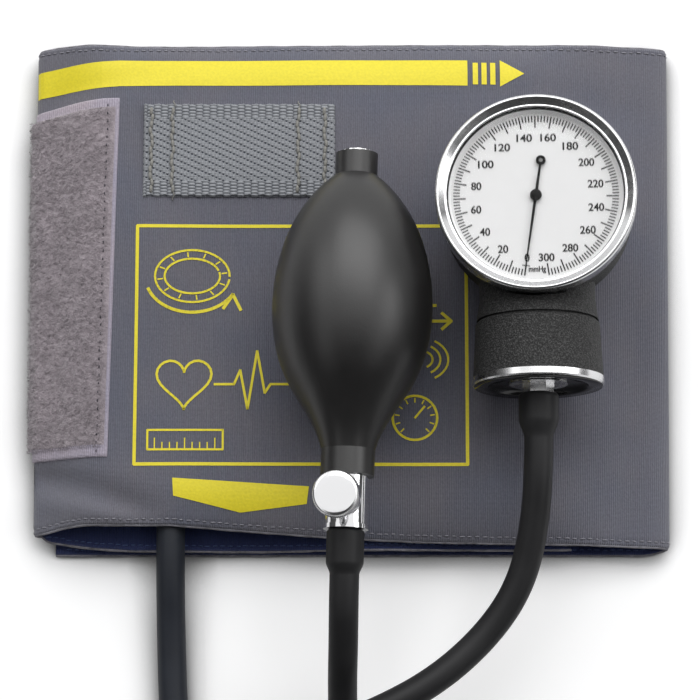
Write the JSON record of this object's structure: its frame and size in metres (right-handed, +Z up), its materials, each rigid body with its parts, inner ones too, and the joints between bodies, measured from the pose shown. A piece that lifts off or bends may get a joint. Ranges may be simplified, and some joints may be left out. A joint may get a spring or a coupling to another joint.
{
  "type": "aneroid sphygmomanometer",
  "caption": "Arm cuff rolled flat with a squeeze bulb, release valve and dial pressure gauge lying on it, joined by rubber hoses to a Y connector.",
  "frame": {"origin": "middle of the rolled cuff's underside, on the table", "axes": "+X across the roll towards the gauge, +Y up the dial, away from the hoses, +Z up off the table"},
  "size_m": [0.2319, 0.3165, 0.061],
  "materials": {
    "fabric_grey": "woven, matt",
    "lining_navy": "woven, matt",
    "loop_pile": "short pile",
    "hook_tape": "hooked tape",
    "webbing": "coarse weave",
    "black_rubber": "satin",
    "hose_rubber": "matt",
    "chrome": "polished",
    "crinkle_paint": "crinkle black",
    "dial_white": "printed white",
    "pointer_black": "black",
    "lens": "clear",
    "brass": "machined",
    "steel": "ground",
    "capsule_bronze": "pressed foil",
    "gasket": "soft",
    "black_plastic": "moulded",
    "white_plastic": "moulded"
  },
  "bodies": {
    "set": {"cuff_outer_panel": "fabric_grey", "cuff_lining": "lining_navy", "bladder": "black_rubber", "loop_pad": "loop_pile", "hook_pad": "hook_tape", "webbing_tab": "webbing", "bulb": "black_rubber", "inlet_valve_body": "chrome", "inlet_valve_retainer": "white_plastic", "release_valve_body": "chrome", "stem_bonnet": "chrome", "gauge_case": "crinkle_paint", "neck_sleeve": "crinkle_paint", "base_ring": "chrome", "base_plate": "black_plastic", "base_gasket": "gasket", "nipple_washer": "chrome", "hose_nipple": "chrome", "capsule": "capsule_bronze", "movement_bottom_plate": "brass", "movement_top_plate": "brass", "movement_pillars": "brass", "movement_screws": "steel", "dial_plate": "dial_white", "dial_spacer_ring": "white_plastic", "lens_gasket": "gasket", "gauge_lens": "lens", "gauge_bezel": "chrome", "gauge_clip": "chrome", "clip_screws": "steel", "cuff_hose": "hose_rubber", "gauge_hose": "hose_rubber", "bulb_hose": "hose_rubber", "hose_connector": "chrome"},
    "pointer_set": {"pointer": "pointer_black", "pinion_arbor": "steel", "hairspring": "steel"},
    "sector_set": {"sector_gear": "brass", "sector_shaft": "steel", "rocker_arm": "brass"},
    "push_pin": {"capsule_push_pin": "steel"},
    "seal": {"stem_seal_ring": "gasket"},
    "knob": {"release_stem": "steel", "release_knob": "chrome"},
    "inlet_ball": {"inlet_valve_ball": "steel"},
    "outlet_disc": {"outlet_check_disc": "gasket"}
  },
  "joints": [
    {"name": "sector_turn", "type": "hinge", "parent": "set", "child": "sector_set", "pos_m": [0.0481, 0.00294, 0.04073], "axis": [-0.0872, 0, 0.9962], "range_deg": [0, 42.88]},
    {"name": "pointer_turn", "type": "hinge", "parent": "set", "child": "pointer_set", "pos_m": [0.0508, 0.0183, 0.05], "axis": [0.0872, 0, -0.9962], "range_deg": [0, 343.05], "stiffness_Nm_per_rad": 0.000005, "springref_deg": -22.92, "deforming": ["hairspring"]},
    {"name": "push_pin_slide", "type": "slide", "parent": "set", "child": "push_pin", "axis": [0, 1, 0], "range_m": [0, 0.00247], "deforming": ["capsule"]},
    {"name": "knob_turn", "type": "hinge", "parent": "seal", "child": "knob", "pos_m": [-0.00056, -0.06407, 0.0391], "axis": [-0.1736, 0.0052, 0.9848], "range_deg": [0, 540]},
    {"name": "stem_lift", "type": "slide", "parent": "set", "child": "seal", "axis": [-0.1736, 0.0052, 0.9848], "range_m": [0, 0.0011]},
    {"name": "inlet_ball_slide", "type": "slide", "parent": "set", "child": "inlet_ball", "axis": [0.0297, 0.9996, 0], "range_m": [0, 0.001]},
    {"name": "outlet_disc_slide", "type": "slide", "parent": "set", "child": "outlet_disc", "axis": [-0.0297, -0.9996, 0], "range_m": [0, 0.0016]}
  ],
  "couplings": [
    {"joint": "sector_turn", "follows": "push_pin_slide", "rad_per_m": 302.96},
    {"joint": "pointer_turn", "follows": "push_pin_slide", "rad_per_m": 2423.7},
    {"joint": "knob_turn", "follows": "stem_lift", "rad_per_m": 8567.1}
  ]
}
